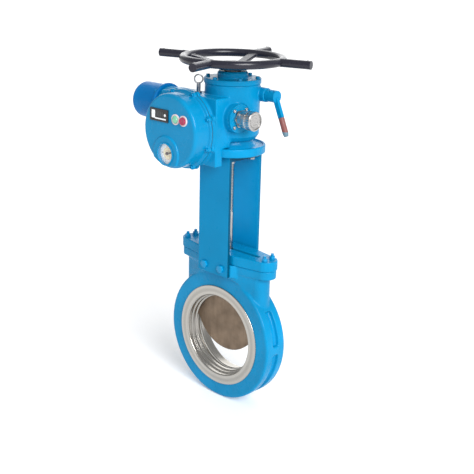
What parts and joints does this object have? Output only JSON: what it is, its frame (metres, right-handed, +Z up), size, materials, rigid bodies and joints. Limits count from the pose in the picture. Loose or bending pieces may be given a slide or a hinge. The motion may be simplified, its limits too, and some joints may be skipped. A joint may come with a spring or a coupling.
{
  "type": "knife gate valve",
  "caption": "Wafer knife gate valve with a two-plate yoke, rising stem and a round multi-turn electric actuator with handwheel, dial and change-over lever.",
  "frame": {"origin": "centre of the bore at the gate's mid-plane", "axes": "+Y along the flow from the front face to the rear face, +Z up along the stem, +X to the right seen from the front"},
  "size_m": [0.4482, 0.3884, 0.8849],
  "materials": {
    "blue_paint": "gloss enamel over cast iron and steel plate",
    "motor_paint": "darker gloss enamel",
    "painted_steel": "painted over with the valve",
    "seat_steel": "turned",
    "gate_steel": "ground plate, slightly stained",
    "stem_steel": "polished",
    "bright_steel": "zinc plated",
    "nickel": "nickel plated",
    "brass": "machined",
    "copper": "enamelled winding",
    "black_enamel": "glossy black enamel",
    "rubber": "matte",
    "ptfe_white": "smooth",
    "packing": "braided",
    "circuit_board": "satin",
    "display_black": "glossy",
    "dial_cream": "printed",
    "pointer_dark": "satin",
    "clear_glass": "clear",
    "bezel_white": "glossy",
    "button_green": "glossy",
    "button_red": "glossy",
    "grip_red": "worn dipped grip"
  },
  "bodies": {
    "root": {"valve_body": "blue_paint", "front_seat_ring": "seat_steel", "rear_seat_ring": "seat_steel", "seat_seal": "ptfe_white", "gate_packing": "packing", "gland_flange": "blue_paint", "gland_studs": "painted_steel", "gland_nuts": "painted_steel", "flange_plugs": "painted_steel", "front_yoke_plate": "blue_paint", "rear_yoke_plate": "blue_paint", "yoke_top_plate": "blue_paint", "yoke_bolts": "painted_steel", "base_bolts": "bright_steel", "lower_bearing": "bright_steel", "upper_bearing": "bright_steel", "thrust_base": "blue_paint", "gear_housing": "blue_paint", "top_cover": "blue_paint", "top_cover_screws": "painted_steel", "worm_bearings": "bright_steel", "motor_housing": "motor_paint", "motor_stator": "copper", "motor_end_cap": "motor_paint", "motor_bolts": "painted_steel", "electrical_cover": "blue_paint", "cover_gasket": "rubber", "cover_screws": "bright_steel", "control_board": "circuit_board", "display_panel": "display_black", "dial_face": "dial_cream", "dial_glass": "clear_glass", "dial_bezel": "blue_paint", "button_bezels": "bezel_white", "cable_flange": "blue_paint", "cable_flange_screws": "bright_steel", "cable_gland": "nickel", "cable_gland_cap": "nickel", "lifting_eye": "bright_steel"},
    "drive": {"handwheel": "black_enamel", "handwheel_grips": "black_enamel", "grip_rivets": "bright_steel", "hub_nut": "bright_steel", "drive_sleeve": "bright_steel", "stem_nut": "brass"},
    "gate_and_stem": {"gate": "gate_steel", "stem": "stem_steel"},
    "pointer": {"dial_pointer": "pointer_dark"},
    "lever": {"clutch_lever": "blue_paint", "lever_grip": "grip_red"},
    "clutch": {"clutch_sleeve": "bright_steel"},
    "green_push": {"green_button": "button_green"},
    "red_push": {"red_button": "button_red"},
    "motor_rotor": {"worm_shaft": "bright_steel"},
    "wheel": {"worm_wheel": "brass"}
  },
  "joints": [
    {"name": "handwheel_turn", "type": "hinge", "parent": "root", "child": "drive", "pos_m": [0, 0, 0.6], "axis": [0, 0, 1], "range_deg": [-2610, 6570]},
    {"name": "gate_lift", "type": "slide", "parent": "root", "child": "gate_and_stem", "axis": [0, 0, 1], "range_m": [-0.0581, 0.1461]},
    {"name": "pointer_turn", "type": "hinge", "parent": "root", "child": "pointer", "pos_m": [-0.063, -0.15, 0.485], "axis": [0, 1, 0], "range_deg": [-77.26, 193.74]},
    {"name": "lever_turn", "type": "hinge", "parent": "root", "child": "lever", "pos_m": [0.08, 0.038, 0.623], "axis": [1, 0, 0], "range_deg": [0, 35]},
    {"name": "clutch_slide", "type": "slide", "parent": "drive", "child": "clutch", "axis": [0, 0, 1], "range_m": [-0.0058, 0.0001]},
    {"name": "green_press", "type": "slide", "parent": "root", "child": "green_push", "axis": [0, 1, 0], "range_m": [0, 0.004], "stiffness_N_per_m": 400, "springref_m": -0.001},
    {"name": "red_press", "type": "slide", "parent": "root", "child": "red_push", "axis": [0, 1, 0], "range_m": [0, 0.004], "stiffness_N_per_m": 400, "springref_m": -0.001},
    {"name": "motor_spin", "type": "hinge", "parent": "root", "child": "motor_rotor", "pos_m": [0, -0.06, 0.582], "axis": [1, 0, 0], "continuous": true},
    {"name": "wheel_spin", "type": "hinge", "parent": "root", "child": "wheel", "pos_m": [0, 0, 0.582], "axis": [0, 0, 1], "continuous": true}
  ],
  "couplings": [
    {"joint": "gate_lift", "follows": "handwheel_turn", "m_per_rad": 0.0012732},
    {"joint": "pointer_turn", "follows": "handwheel_turn", "ratio": 0.029412},
    {"joint": "clutch_slide", "follows": "lever_turn", "m_per_rad": -0.0093638},
    {"joint": "wheel_spin", "follows": "motor_spin", "ratio": -0.025}
  ]
}
